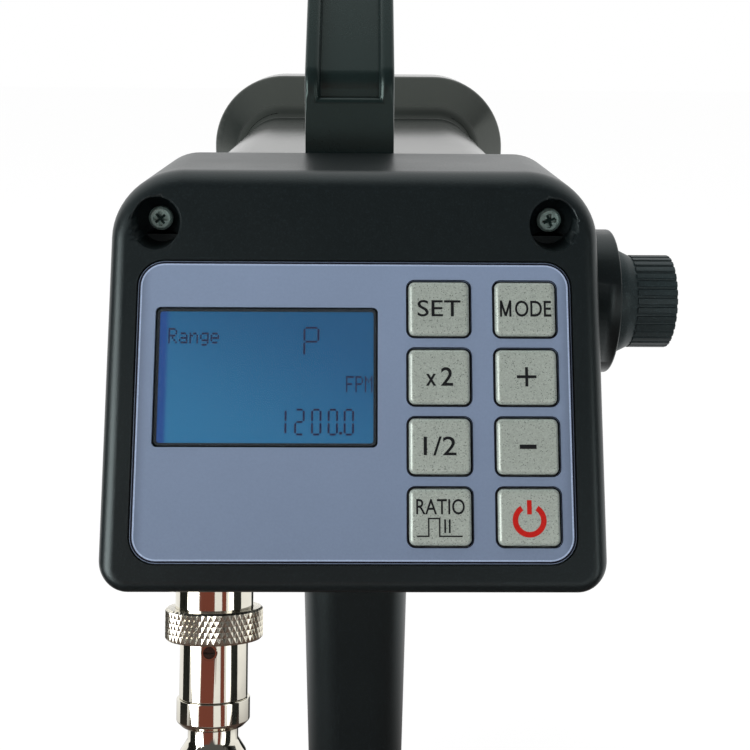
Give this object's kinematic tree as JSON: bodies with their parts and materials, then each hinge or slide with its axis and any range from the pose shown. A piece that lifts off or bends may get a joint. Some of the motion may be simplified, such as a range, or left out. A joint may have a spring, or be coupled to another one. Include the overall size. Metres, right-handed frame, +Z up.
{
  "type": "stroboscope",
  "caption": "Hand-held LED stroboscope: slanted control box with display, keys and side dial, hooded lamp head, carry handle, pistol grip and a plugged-in screw-ring connector.",
  "frame": {"origin": "mouth of the threaded tripod bush in the flat base of the grip", "axes": "+Z up along the bush into the grip, +Y the way the lamp shines, +X to the right of the person reading the panel"},
  "size_m": [0.1174, 0.2246, 0.244],
  "materials": {
    "black_plastic": "moulded, fine grain",
    "dial_plastic": "moulded, ribbed",
    "label": "satin printed film",
    "display_window": "clear acrylic",
    "display": "backlit liquid crystal",
    "key_silver": "silver painted",
    "silicone": "matte",
    "circuit_board": "solder mask",
    "steel": "zinc plated",
    "encoder_case": "moulded",
    "nickel": "nickel plated",
    "insulator": "moulded",
    "contact_brass": "gold flashed",
    "lamp_glass": "clear",
    "seal_rubber": "matte",
    "reflector_silver": "metallised",
    "led_board_white": "white solder mask",
    "led": "clear dome",
    "heat_sink_alloy": "extruded",
    "capacitor_sleeve": "shrink sleeve",
    "bush_brass": "turned"
  },
  "bodies": {
    "housing": {"rear_cover": "black_plastic", "panel_label": "label", "display_window": "display_window", "display_module": "display", "keypad_mat": "silicone", "control_board": "circuit_board", "board_screws": "steel", "cover_screws": "steel", "box_housing": "black_plastic", "encoder_body": "encoder_case", "encoder_washer": "steel", "encoder_nut": "steel", "socket_shell": "nickel", "socket_nut": "nickel", "socket_insert": "insulator", "socket_pins": "contact_brass", "plug_shell": "nickel", "plug_insert": "insulator", "plug_contacts": "contact_brass", "plug_set_screw": "steel", "plug_rear_shell": "nickel", "cable_clamp": "nickel", "clamp_screws": "steel", "lamp_housing": "black_plastic", "lamp_screws": "steel", "front_bezel": "black_plastic", "front_window": "lamp_glass", "window_seal": "seal_rubber", "reflector": "reflector_silver", "led_board": "led_board_white", "leds": "led", "led_screws": "steel", "heat_sink": "heat_sink_alloy", "driver_board": "circuit_board", "driver_screws": "steel", "capacitors": "capacitor_sleeve", "carry_handle": "black_plastic", "handle_screws": "steel", "grip_shell": "black_plastic", "grip_screws": "steel", "base_cap": "black_plastic", "tripod_bush": "bush_brass", "cap_screws": "steel"},
    "key_set": {"key_set": "key_silver"},
    "key_mode": {"key_mode": "key_silver"},
    "key_double": {"key_double": "key_silver"},
    "key_plus": {"key_plus": "key_silver"},
    "key_half": {"key_half": "key_silver"},
    "key_minus": {"key_minus": "key_silver"},
    "key_ratio": {"key_ratio": "key_silver"},
    "key_power": {"key_power": "key_silver"},
    "dial": {"dial_knob": "dial_plastic", "dial_shaft": "steel", "dial_grub_screw": "steel"},
    "coupling_ring": {"coupling_ring": "nickel"}
  },
  "joints": [
    {"name": "key_set_press", "type": "slide", "parent": "housing", "child": "key_set", "axis": [0, 0.891, -0.454], "range_m": [0, 0.0008], "stiffness_N_per_m": 1500},
    {"name": "key_mode_press", "type": "slide", "parent": "housing", "child": "key_mode", "axis": [0, 0.891, -0.454], "range_m": [0, 0.0008], "stiffness_N_per_m": 1500},
    {"name": "key_double_press", "type": "slide", "parent": "housing", "child": "key_double", "axis": [0, 0.891, -0.454], "range_m": [0, 0.0008], "stiffness_N_per_m": 1500},
    {"name": "key_plus_press", "type": "slide", "parent": "housing", "child": "key_plus", "axis": [0, 0.891, -0.454], "range_m": [0, 0.0008], "stiffness_N_per_m": 1500},
    {"name": "key_half_press", "type": "slide", "parent": "housing", "child": "key_half", "axis": [0, 0.891, -0.454], "range_m": [0, 0.0008], "stiffness_N_per_m": 1500},
    {"name": "key_minus_press", "type": "slide", "parent": "housing", "child": "key_minus", "axis": [0, 0.891, -0.454], "range_m": [0, 0.0008], "stiffness_N_per_m": 1500},
    {"name": "key_ratio_press", "type": "slide", "parent": "housing", "child": "key_ratio", "axis": [0, 0.891, -0.454], "range_m": [0, 0.0008], "stiffness_N_per_m": 1500},
    {"name": "key_power_press", "type": "slide", "parent": "housing", "child": "key_power", "axis": [0, 0.891, -0.454], "range_m": [0, 0.0008], "stiffness_N_per_m": 1500},
    {"name": "dial_turn", "type": "hinge", "parent": "housing", "child": "dial", "pos_m": [0.0605, -0.011, 0.16367], "axis": [1, 0, 0], "continuous": true},
    {"name": "ring_turn", "type": "hinge", "parent": "housing", "child": "coupling_ring", "pos_m": [-0.0281, -0.04733, 0.10592], "axis": [0, -0.3665, -0.9304], "continuous": true}
  ]
}
